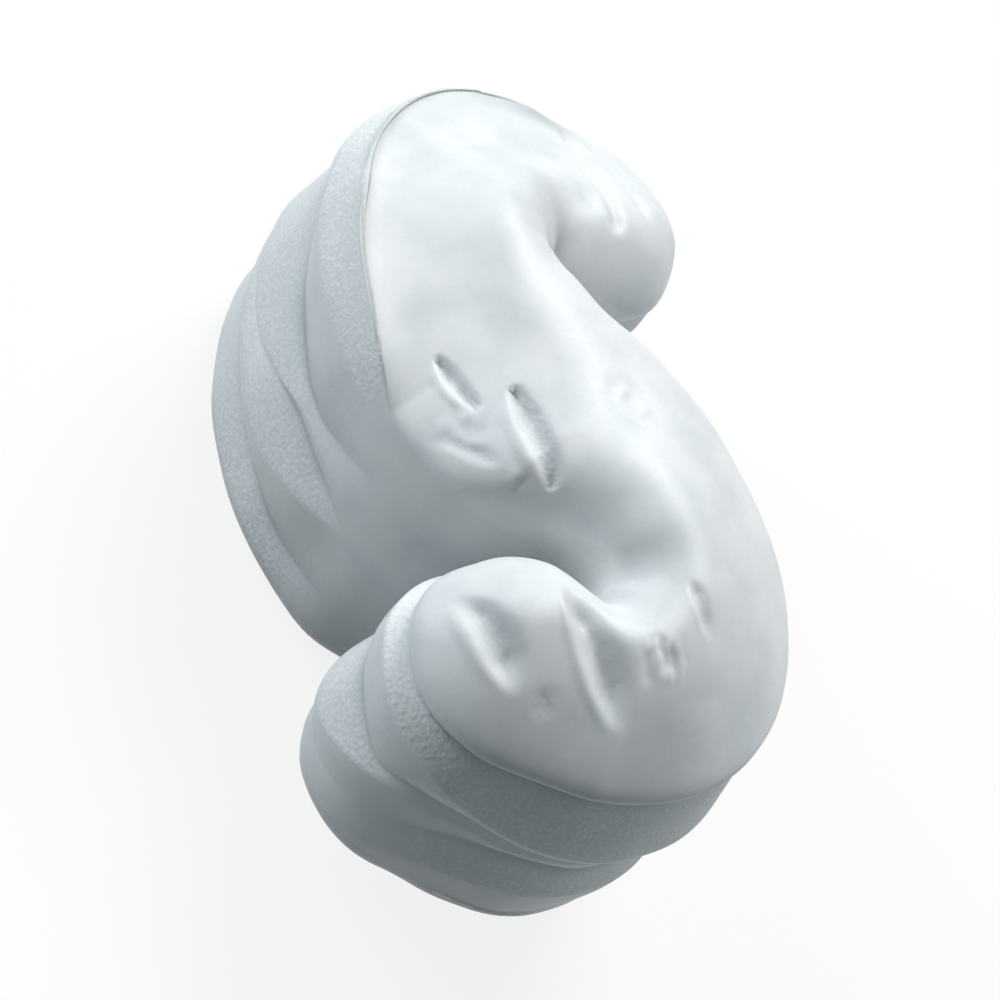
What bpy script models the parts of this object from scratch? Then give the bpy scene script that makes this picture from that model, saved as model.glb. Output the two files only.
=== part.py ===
"""An S-shaped packing peanut of expanded foam, lying on its cut back face.

The foam was pressed through an S-shaped slot and cut off, so it is one thick S stroke that runs
back in bulging layers. +Z is up, out of the front of the S, and +Y runs along the S.
"""

from math import acos, cos, pi, radians, sin

import bmesh
import bpy
import numpy as np

MM = 0.001

# The stroke's middle line starts from a straight run, at this heading, with a hook at each end.
MIDDLE_RUN = 2.64 * MM
MIDDLE_HEADING = radians(-49.4)

# Each hook: the radius it would have if it bent evenly, how far it turns, how much it tightens
# towards its tip (1 is evenly), and the straight tail that ends it.
UPPER_RADIUS = 7.84 * MM
UPPER_TURN = radians(139.8)
UPPER_TIGHTENS = 1.54
UPPER_TAIL = 2.56 * MM
LOWER_RADIUS = 6.22 * MM
LOWER_TURN = radians(147.4)
LOWER_TIGHTENS = 1.78
LOWER_TAIL = 2.70 * MM
BEND_BLEND = 0.8 * MM        # how far along the stroke a change of bend or of width is spread

# Half of the stroke's width at the two tips, part-way along each hook, and in the middle.
UPPER_TIP_HALF = 5.44 * MM
UPPER_LOOP_HALF = 5.27 * MM
MIDDLE_HALF = 7.02 * MM
LOWER_LOOP_HALF = 6.43 * MM
LOWER_TIP_HALF = 5.46 * MM
LOOP_SHARE = 0.52            # how far along a hook its loop width is taken

# The foam fills the inside of each bend a little, at this distance along from the S's middle.
UPPER_FILL = 1.58 * MM
UPPER_FILL_AT = 8.37 * MM
LOWER_FILL = 1.12 * MM
LOWER_FILL_AT = 8.10 * MM
FILL_REACH = 3.5 * MM

# What keeps the inside of a hook from folding over and from meeting the stroke again.
FOLD_SHARE = 0.90            # the inside of a bend keeps within this share of its radius
FOLD_HARDNESS = 6
SLOT_GAP = 0.5 * MM          # what stays open between a hook and the stroke that it curls up to
SAME_STRAND = 6.0 * MM       # stations nearer than this along the stroke are the same strand
TIP_CLAIM = 0.35             # how much more room a tip claims than the middle of the stroke

# Front to back.
DEPTH = 21.0 * MM
FRONT_ROUND = 3.93 * MM      # the front's edge is rounded this deep
INSIDE_ROUND = 1.5 * MM      # but only this deep on the inside of each hook
INSIDE_FROM = 2.0 * MM       # where that starts, along from the S's middle, and over what run
INSIDE_RUN = 6.0 * MM
FRONT_LEAN = 2.4 * MM        # how strongly the front leans out to the outside of each hook
LEAN_RUN = 7.0 * MM          # over how far from the S's middle that grows
BACK_ROUND = 2.1 * MM
BACK_FLAT_SHARE = 0.55       # the flat's share of the stroke's width
BARREL = 0.61 * MM           # the walls' bulge at mid-depth
BACK_NARROWING = 0.62 * MM   # how much narrower each side is at the back than at the front

# The front lobe rolls over to its first crease from a rim this far in front of it.
RIM_HEIGHT = 1.0 * MM
RIM_PROUD = 0.12 * MM
ROUND_TO_CREASE = 0.86       # the front's round is at most this much deeper than the first crease
LINE_GAP = 0.05 * MM         # what two fold lines keep between them where they meet

# The folds of each wall, front to back: a crease, a ridge, a crease and so on. Each line has a few
# points, in fold units: how far along from the S's middle, how far behind the highest front, and how
# proud the skin stands there. A line's first and last points lie at the tips' ends, where the walls
# meet, so both walls' lines end alike.
FOLD_UNIT = 1.0 * MM
RIGHT_FOLDS = (
    (
        (-28.4, 8.2, 0.0), (-22.0, 7.4, 0.0), (-14.8, 4.4, -0.50), (-12.0, 3.5, -0.55), (-8.0, 3.4, -0.50),
        (-6.2, 3.9, -0.30), (-4.4, 4.9, 0.0), (19.0, 5.0, -0.20), (23.0, 5.2, -0.60), (25.4, 5.7, -0.75),
    ),
    (
        (-28.4, 9.8, 0.0), (-22.0, 9.2, 0.2), (-17.5, 7.4, 0.30), (-12.5, 6.8, 0.35), (-8.3, 6.1, 0.30),
        (-4.4, 5.9, 0.0), (8.0, 6.2, 0.0), (19.0, 6.4, 0.1), (25.4, 6.7, 0.25),
    ),
    (
        (-28.4, 11.2, -0.2), (-22.0, 10.4, -0.2), (-13.4, 7.7, -0.40), (-12.1, 7.8, -0.50),
        (-9.8, 9.5, -0.55), (-7.6, 10.2, -0.50), (-6.0, 10.1, -0.40), (-3.2, 7.9, 0.0),
        (19.0, 8.6, -0.1), (25.4, 9.7, -0.45),
    ),
    (
        (-28.4, 13.6, 0.0), (-22.0, 13.4, 0.3), (-11.2, 13.2, 0.35), (-9.3, 12.4, 0.30),
        (-6.8, 10.8, -0.20), (-4.4, 10.8, 0.0), (22.0, 11.6, 0.1), (25.4, 12.9, 0.40),
    ),
    (
        (-28.4, 14.8, -0.2), (-22.0, 14.6, -0.3), (-12.6, 13.9, -0.35), (-10.0, 13.4, -0.30),
        (-8.8, 12.0, -0.05), (-6.8, 11.3, -0.35), (-4.4, 11.8, -0.30), (-3.2, 12.2, 0.0),
        (22.0, 13.0, 0.0), (25.4, 14.4, 0.1),
    ),
    (
        (-28.4, 15.8, 0.0), (-12.0, 14.5, 0.20), (-8.4, 14.5, 0.40), (-7.0, 14.7, 0.45),
        (-4.7, 13.2, 0.25), (-3.2, 12.6, 0.0), (25.4, 15.6, 0.1),
    ),
    (
        (-28.4, 17.0, -0.2), (-22.0, 16.4, -0.3), (-12.0, 15.4, -0.30), (-7.8, 16.6, -0.45),
        (-4.4, 17.3, -0.40), (-1.0, 16.0, 0.0), (25.4, 16.8, 0.0),
    ),
)
LEFT_FOLDS = (
    (
        (-28.4, 8.2, 0.0), (-26.0, 7.8, -0.35), (-20.0, 7.4, -0.30), (-12.0, 6.0, -0.10), (-5.0, 4.8, 0.0),
        (4.0, 4.6, -0.1), (9.0, 4.2, -0.45), (13.8, 4.2, -0.75), (18.1, 5.1, -0.85), (25.4, 5.7, -0.75),
    ),
    (
        (-28.4, 9.8, 0.0), (-22.0, 9.4, 0.0), (-5.0, 6.4, 0.0), (4.0, 7.6, 0.2), (9.0, 9.0, 0.40),
        (13.0, 9.5, 0.30), (18.9, 8.9, 0.20), (23.3, 7.2, 0.25), (25.4, 6.7, 0.25),
    ),
    (
        (-28.4, 11.2, -0.2), (-22.0, 10.6, -0.3), (-12.0, 8.6, -0.1), (4.0, 9.4, -0.2), (9.0, 10.0, -0.40),
        (13.0, 10.4, -0.65), (18.9, 9.8, -0.60), (22.2, 9.4, -0.20), (23.5, 10.5, -0.20),
        (25.4, 9.7, -0.45),
    ),
    (
        (-28.4, 13.6, 0.0), (-12.0, 11.6, 0.0), (4.0, 11.0, 0.1), (13.0, 11.2, -0.40), (18.9, 10.8, -0.40),
        (22.2, 10.4, -0.05), (23.5, 10.9, 0.10), (24.5, 11.5, 0.35), (25.4, 12.9, 0.40),
    ),
    (
        (-28.4, 14.8, -0.2), (-12.0, 12.8, -0.1), (4.0, 12.4, -0.2), (15.4, 11.8, -0.65),
        (16.9, 11.3, -0.60), (20.6, 12.0, -0.20), (22.5, 12.6, 0.0), (25.4, 14.4, 0.1),
    ),
    (
        (-28.4, 15.8, 0.0), (-5.0, 14.8, 0.1), (4.0, 14.6, 0.2), (13.0, 14.4, 0.1), (16.9, 14.0, 0.0),
        (25.4, 15.6, 0.1),
    ),
    (
        (-28.4, 17.0, -0.2), (4.0, 16.8, -0.2), (13.0, 16.8, -0.1), (18.0, 16.6, 0.0), (25.4, 16.8, 0.0),
    ),
)

# The front is highest near the S's middle and falls along each half, over this run from the given
# place. The upper tip dips further, and the backs of both tips are off the ground.
UPPER_FALL = 1.87 * MM
UPPER_FALL_FROM = -4.0 * MM
UPPER_FALL_RUN = 14.0 * MM
UPPER_TIP_DIP = 2.4 * MM
LOWER_FALL = 2.6 * MM
LOWER_FALL_FROM = 3.0 * MM
LOWER_FALL_RUN = 18.0 * MM
UPPER_TIP_LIFT = 0.7 * MM
LOWER_TIP_LIFT = 3.0 * MM
DIP_FROM_SHARE = 0.42        # where along a half the tip's dip and its lift start
LIFT_FROM_SHARE = 0.375

# How finely the skin is divided.
BODY_RIBS = 72
TIP_RIBS = 8
FRONT_STEPS = 9
BACK_STEPS = 4
FLAT_STEPS = 2
RIM_STEPS = (0.5, 0.85, 1.0)
FACET_STEPS = (1.0,)
ROUND_STEPS = (0.5, 0.8, 1.0)
ROUND_FALL = 2.4             # how late a round falls from its ridge to the next crease
SPINE_STEPS = 400
ROOM_STEPS = 90

FOAM_COLOUR = (0.80, 0.83, 0.84, 1.0)
FOAM_ROUGHNESS = 0.42


def smooth(t):
    """A ramp from 0 to 1 that starts and ends level."""
    t = np.clip(t, 0.0, 1.0)
    return t * t * (3.0 - 2.0 * t)


def blurred(values, step, reach):
    """The values evened out along the stroke by a bell curve of this reach."""
    count = int(3.0 * reach / step)
    bell = np.exp(-0.5 * (np.arange(-count, count + 1) * step / reach) ** 2)
    return np.convolve(np.pad(values, count, mode="edge"), bell / bell.sum(), mode="valid")


def at_most(values, limit):
    """The values, levelling off as they near the limit."""
    return values / (1.0 + (values / limit) ** FOLD_HARDNESS) ** (1.0 / FOLD_HARDNESS)


class Stroke:
    """The S's middle line and widths, at stations counted from its middle to each tip."""

    def __init__(self):
        upper_arc = UPPER_RADIUS * UPPER_TURN
        lower_arc = LOWER_RADIUS * LOWER_TURN
        self.first = -(MIDDLE_RUN / 2 + upper_arc + UPPER_TAIL)
        self.last = MIDDLE_RUN / 2 + lower_arc + LOWER_TAIL
        self.along = np.linspace(self.first, self.last, SPINE_STEPS)
        self.step = self.along[1] - self.along[0]
        past_middle = np.abs(self.along) - MIDDLE_RUN / 2
        upper = np.clip(past_middle / upper_arc, 0.0, 1.0) ** UPPER_TIGHTENS
        lower = np.clip(past_middle / lower_arc, 0.0, 1.0) ** LOWER_TIGHTENS
        turned = np.where(self.along < 0.0, UPPER_TURN * upper, LOWER_TURN * lower)
        self.heading = blurred(MIDDLE_HEADING - turned, self.step, BEND_BLEND)
        self.x = self.walked(np.cos(self.heading))
        self.y = self.walked(np.sin(self.heading))
        self.half = self.half_widths()
        self.left = self.side_widths(1, UPPER_FILL, -UPPER_FILL_AT)
        self.right = self.side_widths(-1, LOWER_FILL, LOWER_FILL_AT)

    def walked(self, rate):
        """The running sum of a rate, with 0 at the stroke's middle."""
        total = np.concatenate([[0.0], np.cumsum((rate[1:] + rate[:-1]) / 2 * self.step)])
        return total - np.interp(0.0, self.along, total)

    def at(self, station, values):
        return np.interp(station, self.along, values)

    def half_widths(self):
        """Half of the stroke's width at each station, eased between the five given widths."""
        places = (self.first, self.first * LOOP_SHARE, 0.0, self.last * LOOP_SHARE, self.last)
        halves = (UPPER_TIP_HALF, UPPER_LOOP_HALF, MIDDLE_HALF, LOWER_LOOP_HALF, LOWER_TIP_HALF)
        count = np.arange(len(places))
        passed = np.interp(self.along, places, count)
        eased = np.floor(passed) + smooth(passed - np.floor(passed))
        return np.interp(eased, count, halves)

    def side_widths(self, side, fill, fill_at):
        """The width on one side, 1 for the left: filled inside its bend, but clear of itself."""
        filled = self.half + fill * np.exp(-(((self.along - fill_at) / FILL_REACH) ** 2))
        bend = np.gradient(self.heading, self.step) * side
        unfolded = at_most(filled, FOLD_SHARE / np.maximum(bend, 1.0))
        return blurred(np.minimum(unfolded, self.room_beside(side)), self.step, BEND_BLEND)

    def room_beside(self, side):
        """How wide each station may be on one side before it meets another strand of the stroke.

        Where two strands meet, each keeps room in proportion to its own width, and the tips more.
        """
        claim = self.half * (1.0 + TIP_CLAIM * smooth(np.abs(self.along) / self.last))
        middle = np.stack([self.x, self.y], axis=1)
        sideways = np.stack([-np.sin(self.heading), np.cos(self.heading)], axis=1) * side
        widest = self.half.max() * 2.0
        widths = np.linspace(0.0, widest, ROOM_STEPS)
        room = np.full(len(self.along), widest)
        for i, station in enumerate(self.along):
            others = np.abs(self.along - station) > SAME_STRAND
            walls = middle[i] + sideways[i] * widths[:, None]
            away = np.linalg.norm(walls[:, None] - middle[others][None], axis=2)
            meets = (away / claim[others]).min(axis=1) < widths / claim[i]
            if meets.any():
                room[i] = widths[meets.argmax()] - BARREL - SLOT_GAP / 2
        return room

    def tip_share(self, station, start):
        """How far a station is from this share of its half to the tip: (upper, lower)."""
        upper = (station / self.first - start) / (1.0 - start)
        lower = (station / self.last - start) / (1.0 - start)
        return smooth(upper), smooth(lower)

    def front_height(self, station):
        upper = UPPER_FALL * smooth((-station - UPPER_FALL_FROM) / UPPER_FALL_RUN)
        lower = LOWER_FALL * smooth((station - LOWER_FALL_FROM) / LOWER_FALL_RUN)
        dip = UPPER_TIP_DIP * self.tip_share(station, DIP_FROM_SHARE)[0]
        return DEPTH - upper - lower - dip

    def back_height(self, station):
        upper, lower = self.tip_share(station, LIFT_FROM_SHARE)
        return UPPER_TIP_LIFT * upper + LOWER_TIP_LIFT * lower


def fold_lines(stroke, folds, station, fall, sill):
    """(distance behind the local front, how proud) of each fold line, in order and before the sill."""
    upper_end = stroke.first - UPPER_TIP_HALF
    lower_end = stroke.last + LOWER_TIP_HALF
    lines = []
    for points in folds:
        along, behind, proud = np.array(points).T * FOLD_UNIT
        along = np.where(along < 0.0, along * upper_end / along[0], along * lower_end / along[-1])
        lines.append([np.interp(station, along, behind) - fall, np.interp(station, along, proud)])
    for near, far in zip(lines[:-1], lines[1:]):
        far[0] = max(far[0], near[0] + LINE_GAP)
    for left, line in enumerate(reversed(lines)):
        line[0] = min(line[0], sill - (left + 1) * LINE_GAP)
    return lines


def front_rows(lines, front_round):
    """The front from its middle to its rim, and the rim rolled over to the first crease."""
    crease, depth = lines[0]
    rim = crease - RIM_HEIGHT
    end = acos(1.0 - min(rim / front_round, 1.0))
    rows = []
    for angle in np.linspace(0.0, end, FRONT_STEPS):
        rows.append((front_round * (1.0 - cos(angle)), RIM_PROUD * float(smooth(2.0 * angle / end - 1.0))))
    for share in RIM_STEPS:
        roll = 1.0 - (1.0 - share**2) ** 0.5
        rows.append((rim + RIM_HEIGHT * share, RIM_PROUD + (depth - RIM_PROUD) * roll))
    return rows


def fold_rows(lines, sill):
    """Facets that rise from each crease to its ridge, and rounds that fall to the next crease."""
    rows = []
    ends = [*lines, (sill, 0.0)]
    for number, (near, far) in enumerate(zip(ends[:-1], ends[1:])):
        rises = number % 2 == 0
        for share in FACET_STEPS if rises else ROUND_STEPS:
            eased = share if rises else share**ROUND_FALL
            rows.append((near[0] + (far[0] - near[0]) * share, near[1] + (far[1] - near[1]) * eased))
    return rows


def edge_round(side, station, past_share):
    """How deep the front's edge is rounded on one side, 1 for the left: less inside a hook."""
    inside = smooth((-side * station - INSIDE_FROM) / INSIDE_RUN) * (1.0 - smooth(past_share))
    return FRONT_ROUND + (INSIDE_ROUND - FRONT_ROUND) * float(inside)


def edge_lean(side, station):
    """How far the front leans down on one side, 1 for the left: up on the inside of a hook."""
    turn = np.clip(side * station / LEAN_RUN, -1.0, 1.0)
    return FRONT_LEAN * float(turn * (3.0 - turn**2) / 2.0)


def section(front, back, lines, front_round, lean):
    """(distance behind the front, share of the half-width, how proud) down one side of a section."""
    sill = front - back - BACK_ROUND
    front_round = min(front_round, lines[0][0] / ROUND_TO_CREASE)
    rows = []
    for behind, proud in front_rows(lines, front_round) + fold_rows(lines, sill):
        share = (1.0 - (1.0 - min(behind / front_round, 1.0)) ** 2) ** 0.5
        rows.append((behind + lean * share * (1.0 - share), share, proud))
    for angle in np.linspace(0.0, pi / 2, BACK_STEPS + 1)[1:]:
        share = BACK_FLAT_SHARE + (1.0 - BACK_FLAT_SHARE) * cos(angle)
        rows.append((sill + BACK_ROUND * sin(angle), share, 0.0))
    for share in np.linspace(BACK_FLAT_SHARE, 0.0, FLAT_STEPS + 1)[1:]:
        rows.append((front - back, share, 0.0))
    return rows


def rib_stations(stroke):
    """The ribs' stations, closer together round each tip, as far as half a width past the ends."""
    round_tip = np.linspace(0.0, pi / 2, TIP_RIBS)
    upper = stroke.first - UPPER_TIP_HALF * np.cos(round_tip)
    body = np.linspace(stroke.first, stroke.last, BODY_RIBS)
    lower = stroke.last + LOWER_TIP_HALF * np.sin(round_tip)
    return [*upper, *body[1:-1], *lower]


def rib(stroke, station):
    """One closed ring of points round the stroke at a station."""
    inside = min(max(station, stroke.first), stroke.last)
    past = station - inside
    half = stroke.at(inside, stroke.half)
    narrowed = max(1.0 - (past / half) ** 2, 0.0) ** 0.5
    heading = stroke.at(inside, stroke.heading)
    ahead = np.array([cos(heading), sin(heading)])
    left = np.array([-ahead[1], ahead[0]])
    middle = np.array([stroke.at(inside, stroke.x), stroke.at(inside, stroke.y)])
    front = stroke.front_height(inside)
    back = stroke.back_height(inside)
    rings = []
    for side, widths, folds in ((1, stroke.left, LEFT_FOLDS), (-1, stroke.right, RIGHT_FOLDS)):
        outward = left * side * stroke.at(inside, widths)
        lines = fold_lines(stroke, folds, station, DEPTH - front, front - back - BACK_ROUND)
        front_round = edge_round(side, inside, abs(past) / half)
        lean = edge_lean(side, inside) * narrowed
        ring = []
        for behind, share, proud in section(front, back, lines, front_round, lean):
            depth = behind / (front - back)
            swell = BARREL * (1.0 - (2.0 * depth - 1.0) ** 2) - BACK_NARROWING * depth
            wide = 1.0 + (swell + proud * share) / half
            place = middle + (ahead * past + outward * narrowed) * share * wide
            ring.append((place[0], place[1], front - behind))
        rings.append(ring)
    return rings[0] + rings[1][-2:0:-1]


def foam_skin():
    """The ribs, which all have as many points, joined into one skin."""
    stroke = Stroke()
    mesh = bmesh.new()
    ribs = []
    for station in rib_stations(stroke):
        ribs.append([mesh.verts.new(point) for point in rib(stroke, station)])
    for near, far in zip(ribs[:-1], ribs[1:]):
        for i in range(len(near)):
            mesh.faces.new((near[i - 1], near[i], far[i], far[i - 1]))
    bmesh.ops.remove_doubles(mesh, verts=mesh.verts, dist=MM / 1000)
    bmesh.ops.recalc_face_normals(mesh, faces=mesh.faces)
    return mesh


def stand_on_origin(mesh):
    """Moves the skin so that the middle of its base is at the origin."""
    corners = np.array([vert.co for vert in mesh.verts])
    low = corners.min(axis=0)
    middle = (low + corners.max(axis=0)) / 2
    bmesh.ops.translate(mesh, verts=mesh.verts, vec=(-middle[0], -middle[1], -low[2]))


def foam_material():
    material = bpy.data.materials.new("foam")
    material.use_nodes = True
    shader = material.node_tree.nodes["Principled BSDF"]
    shader.inputs["Base Color"].default_value = FOAM_COLOUR
    shader.inputs["Roughness"].default_value = FOAM_ROUGHNESS
    material.diffuse_color = FOAM_COLOUR
    return material


def main():
    for item in list(bpy.data.objects):
        bpy.data.objects.remove(item, do_unlink=True)
    skin = foam_skin()
    stand_on_origin(skin)
    data = bpy.data.meshes.new("foam_peanut")
    skin.to_mesh(data)
    skin.free()
    data.shade_smooth()
    data.materials.append(foam_material())
    peanut = bpy.data.objects.new("foam_peanut", data)
    collection = bpy.data.collections.new("packing_peanut")
    bpy.context.scene.collection.children.link(collection)
    collection.objects.link(peanut)


main()
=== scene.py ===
"""An S-shaped packing peanut of expanded foam: its folded skin, its finish and a plain studio."""

from math import pi, radians

import bmesh
import bpy
import numpy as np
from bpy.props import FloatProperty, FloatVectorProperty, PointerProperty
from mathutils import Matrix, Vector, noise


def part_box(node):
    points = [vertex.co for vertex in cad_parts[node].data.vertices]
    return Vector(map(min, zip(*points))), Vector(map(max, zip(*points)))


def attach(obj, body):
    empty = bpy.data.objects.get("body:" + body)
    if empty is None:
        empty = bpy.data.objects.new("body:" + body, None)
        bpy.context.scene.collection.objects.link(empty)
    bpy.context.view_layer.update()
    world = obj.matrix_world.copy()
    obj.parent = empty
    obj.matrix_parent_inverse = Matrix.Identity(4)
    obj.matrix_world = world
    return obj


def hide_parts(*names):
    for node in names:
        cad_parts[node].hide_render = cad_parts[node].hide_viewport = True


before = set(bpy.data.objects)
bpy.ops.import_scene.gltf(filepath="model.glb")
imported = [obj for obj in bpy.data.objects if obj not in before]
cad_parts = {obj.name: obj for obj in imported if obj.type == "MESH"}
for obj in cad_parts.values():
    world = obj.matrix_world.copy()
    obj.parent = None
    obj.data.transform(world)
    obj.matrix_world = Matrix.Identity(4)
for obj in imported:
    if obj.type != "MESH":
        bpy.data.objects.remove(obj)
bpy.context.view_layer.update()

bl_info = {
    "name": "Packing Peanut",
    "version": (1, 0, 0),
    "blender": (4, 5, 0),
    "location": "View3D > Sidebar > Packing Peanut",
    "description": "Models the skin of an S-shaped foam packing peanut and a plain studio for it",
    "category": "Add Mesh",
}

MM = 0.001
NODE = "foam_peanut"

# The stroke's form along its length.
LOOP_SHARE = 0.52            # how far along a hook its loop width is taken
FOLD_SHARE = 0.90            # the inside of a bend keeps within this share of its radius
FOLD_HARDNESS = 6
FILL_REACH = 3.5 * MM        # how far along the stroke the filling of a bend reaches
BEND_BLEND = 0.8 * MM        # how far a change of bend or of width is spread
SLOT_GAP = 0.5 * MM          # what stays open between a hook and the stroke that it curls up to
SAME_STRAND = 6.0 * MM       # stations nearer than this along the stroke are the same strand
TIP_CLAIM = 0.35             # how much more room a tip claims than the middle of the stroke
SPINE_STEPS = 500
ROOM_STEPS = 90

# The front is highest near the S's middle and falls along each half, over this run from the given
# place. The upper tip dips further, and the backs of both tips are off the ground.
UPPER_FALL = 1.87 * MM
UPPER_FALL_FROM = -4.0 * MM
UPPER_FALL_RUN = 14.0 * MM
UPPER_TIP_DIP = 2.4 * MM
LOWER_FALL = 2.6 * MM
LOWER_FALL_FROM = 3.0 * MM
LOWER_FALL_RUN = 18.0 * MM
UPPER_TIP_LIFT = 0.7 * MM
LOWER_TIP_LIFT = 3.0 * MM
DIP_FROM_SHARE = 0.42        # where along a half the tip's dip and its lift start
LIFT_FROM_SHARE = 0.375

# The stroke's form from front to back.
INSIDE_ROUND = 1.5 * MM      # how deep the front's edge is rounded on the inside of each hook
INSIDE_FROM = 2.0 * MM       # where that starts, along from the S's middle, and over what run
INSIDE_RUN = 6.0 * MM
UPPER_LEAN = 3.5 * MM        # how strongly the front leans out to the outside of each hook
LOWER_LEAN = 2.1 * MM
LEAN_RUN = 7.0 * MM          # over how far from the S's middle the lean grows
LOWER_DOME = 1.4 * MM        # how far the front swells between its edges in the lower hook
BACK_ROUND = 2.1 * MM
BACK_FLAT_SHARE = 0.55       # the flat's share of the stroke's width
BARREL = 0.61 * MM           # the walls' bulge at mid-depth
BACK_NARROWING = 0.62 * MM   # how much narrower each side is at the back than at the front
RIM_HEIGHT = 1.0 * MM        # how far in front of its first crease the front lobe rolls over
RIM_PROUD = 0.12 * MM
RIM_PROUD_FROM = 0.55        # how far down the front it starts to stand proud towards the rim
ROUND_TO_CREASE = 0.86       # the front's round is at most this much deeper than the first crease
ROUND_FALL = 2.4             # how late a round falls from its ridge to the next crease
LINE_GAP = 0.05 * MM         # what two fold lines keep between them where they meet
LINE_BLEND = 0.4 * MM        # how softly a fold line turns at its points

# The masks that the finish reads: how much a place shows its cells, and how much painted shade a
# crease gets.
FULL_FOLD = 0.5 * MM         # a facet that rises this far, or a crease this deep, shows in full
DARKEST = 1.5                # how much more than that the deepest creases may show
CREASE_FADE = 6              # how fast the shade fades beside a crease
ROUND_WEAR = 0.25            # how much of a facet's cells the rounds and the rim show
EDGE_WEAR = 0.5              # how much of them the back's edge shows

# At the top of the upper hook the front's outer edge gets painted shade too: how dark it is, where
# along the stroke that is, how far it reaches along it, and how far down the front it starts.
TOP_SHADE = 1.0
TOP_SHADE_AT = -21.2 * MM
TOP_SHADE_REACH = 1.9 * MM
TOP_SHADE_FROM = 0.60

# How finely the skin is divided: ribs along the stroke, rows in each part of its section.
RIBS = 372
CAP_SHARE = 0.09
TOP_ROWS = 38
RIM_ROWS = 9
FACET_ROWS = 9
ROUND_ROWS = 8
BACK_ROWS = 9
FLAT_ROWS = 5

# The fold lines on each side, front to back: a crease, a ridge, a crease and so on. Each line has
# a few points, in millimetres: how far along from the S's middle, how far behind the highest front,
# and how proud the skin stands there. A line's first and last points lie at the tips' ends, where
# the walls meet, so both walls' lines end alike.
RIGHT_LINES = (
    (
        (-28.4, 8.2, 0.0), (-22.0, 7.4, 0.0), (-14.8, 4.4, -0.50), (-12.0, 3.5, -0.55),
        (-8.0, 3.4, -0.50), (-6.2, 3.9, -0.30), (-4.4, 4.9, 0.0), (19.0, 5.0, -0.20),
        (23.0, 5.2, -0.60), (25.4, 5.7, -0.75),
    ),
    (
        (-28.4, 9.8, 0.0), (-22.0, 9.2, 0.2), (-17.5, 7.4, 0.30), (-12.5, 6.8, 0.35),
        (-8.3, 6.1, 0.30), (-4.4, 5.9, 0.0), (8.0, 6.2, 0.0), (19.0, 6.4, 0.1), (25.4, 6.7, 0.25),
    ),
    (
        (-28.4, 11.2, -0.2), (-22.0, 10.4, -0.2), (-13.4, 7.7, -0.40), (-12.1, 7.8, -0.50),
        (-9.8, 9.5, -0.55), (-7.6, 10.2, -0.50), (-6.0, 10.1, -0.40), (-3.2, 7.9, 0.0),
        (19.0, 8.6, -0.1), (25.4, 9.7, -0.45),
    ),
    (
        (-28.4, 13.6, 0.0), (-22.0, 13.4, 0.3), (-11.2, 13.2, 0.35), (-9.3, 12.4, 0.30),
        (-6.8, 10.8, -0.20), (-4.4, 10.8, 0.0), (22.0, 11.6, 0.1), (25.4, 12.9, 0.40),
    ),
    (
        (-28.4, 14.8, -0.2), (-22.0, 14.6, -0.3), (-12.6, 13.9, -0.35), (-10.0, 13.4, -0.30),
        (-8.8, 12.0, -0.05), (-6.8, 11.3, -0.35), (-4.4, 11.8, -0.30), (-3.2, 12.2, 0.0),
        (22.0, 13.0, 0.0), (25.4, 14.4, 0.1),
    ),
    (
        (-28.4, 15.8, 0.0), (-12.0, 14.5, 0.20), (-8.4, 14.5, 0.40), (-7.0, 14.7, 0.45),
        (-4.7, 13.2, 0.25), (-3.2, 12.6, 0.0), (25.4, 15.6, 0.1),
    ),
    (
        (-28.4, 17.0, -0.2), (-22.0, 16.4, -0.3), (-12.0, 15.4, -0.30), (-7.8, 16.6, -0.45),
        (-4.4, 17.3, -0.40), (-1.0, 16.0, 0.0), (25.4, 16.8, 0.0),
    ),
)
LEFT_LINES = (
    (
        (-28.4, 8.2, 0.0), (-26.0, 7.8, -0.35), (-20.0, 7.4, -0.30), (-12.0, 6.0, -0.10),
        (-5.0, 4.8, 0.0), (4.0, 4.6, -0.1), (9.0, 4.2, -0.45), (13.8, 4.2, -0.75),
        (18.1, 5.1, -0.85), (25.4, 5.7, -0.75),
    ),
    (
        (-28.4, 9.8, 0.0), (-22.0, 9.4, 0.0), (-5.0, 6.4, 0.0), (4.0, 7.6, 0.2), (9.0, 9.0, 0.40),
        (13.0, 9.5, 0.30), (18.9, 8.9, 0.20), (23.3, 7.2, 0.25), (25.4, 6.7, 0.25),
    ),
    (
        (-28.4, 11.2, -0.2), (-22.0, 10.6, -0.3), (-12.0, 8.6, -0.1), (4.0, 9.4, -0.2),
        (9.0, 10.0, -0.40), (13.0, 10.4, -0.65), (18.9, 9.8, -0.60), (22.2, 9.4, -0.20),
        (23.5, 10.5, -0.20), (25.4, 9.7, -0.45),
    ),
    (
        (-28.4, 13.6, 0.0), (-12.0, 11.6, 0.0), (4.0, 11.0, 0.1), (13.0, 11.2, -0.40),
        (18.9, 10.8, -0.40), (22.2, 10.4, -0.05), (23.5, 10.9, 0.10), (24.5, 11.5, 0.35),
        (25.4, 12.9, 0.40),
    ),
    (
        (-28.4, 14.8, -0.2), (-12.0, 12.8, -0.1), (4.0, 12.4, -0.2), (15.4, 11.8, -0.65),
        (16.9, 11.3, -0.60), (20.6, 12.0, -0.20), (22.5, 12.6, 0.0), (25.4, 14.4, 0.1),
    ),
    (
        (-28.4, 15.8, 0.0), (-5.0, 14.8, 0.1), (4.0, 14.6, 0.2), (13.0, 14.4, 0.1),
        (16.9, 14.0, 0.0), (25.4, 15.6, 0.1),
    ),
    (
        (-28.4, 17.0, -0.2), (4.0, 16.8, -0.2), (13.0, 16.8, -0.1), (18.0, 16.6, 0.0),
        (25.4, 16.8, 0.0),
    ),
)

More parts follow.
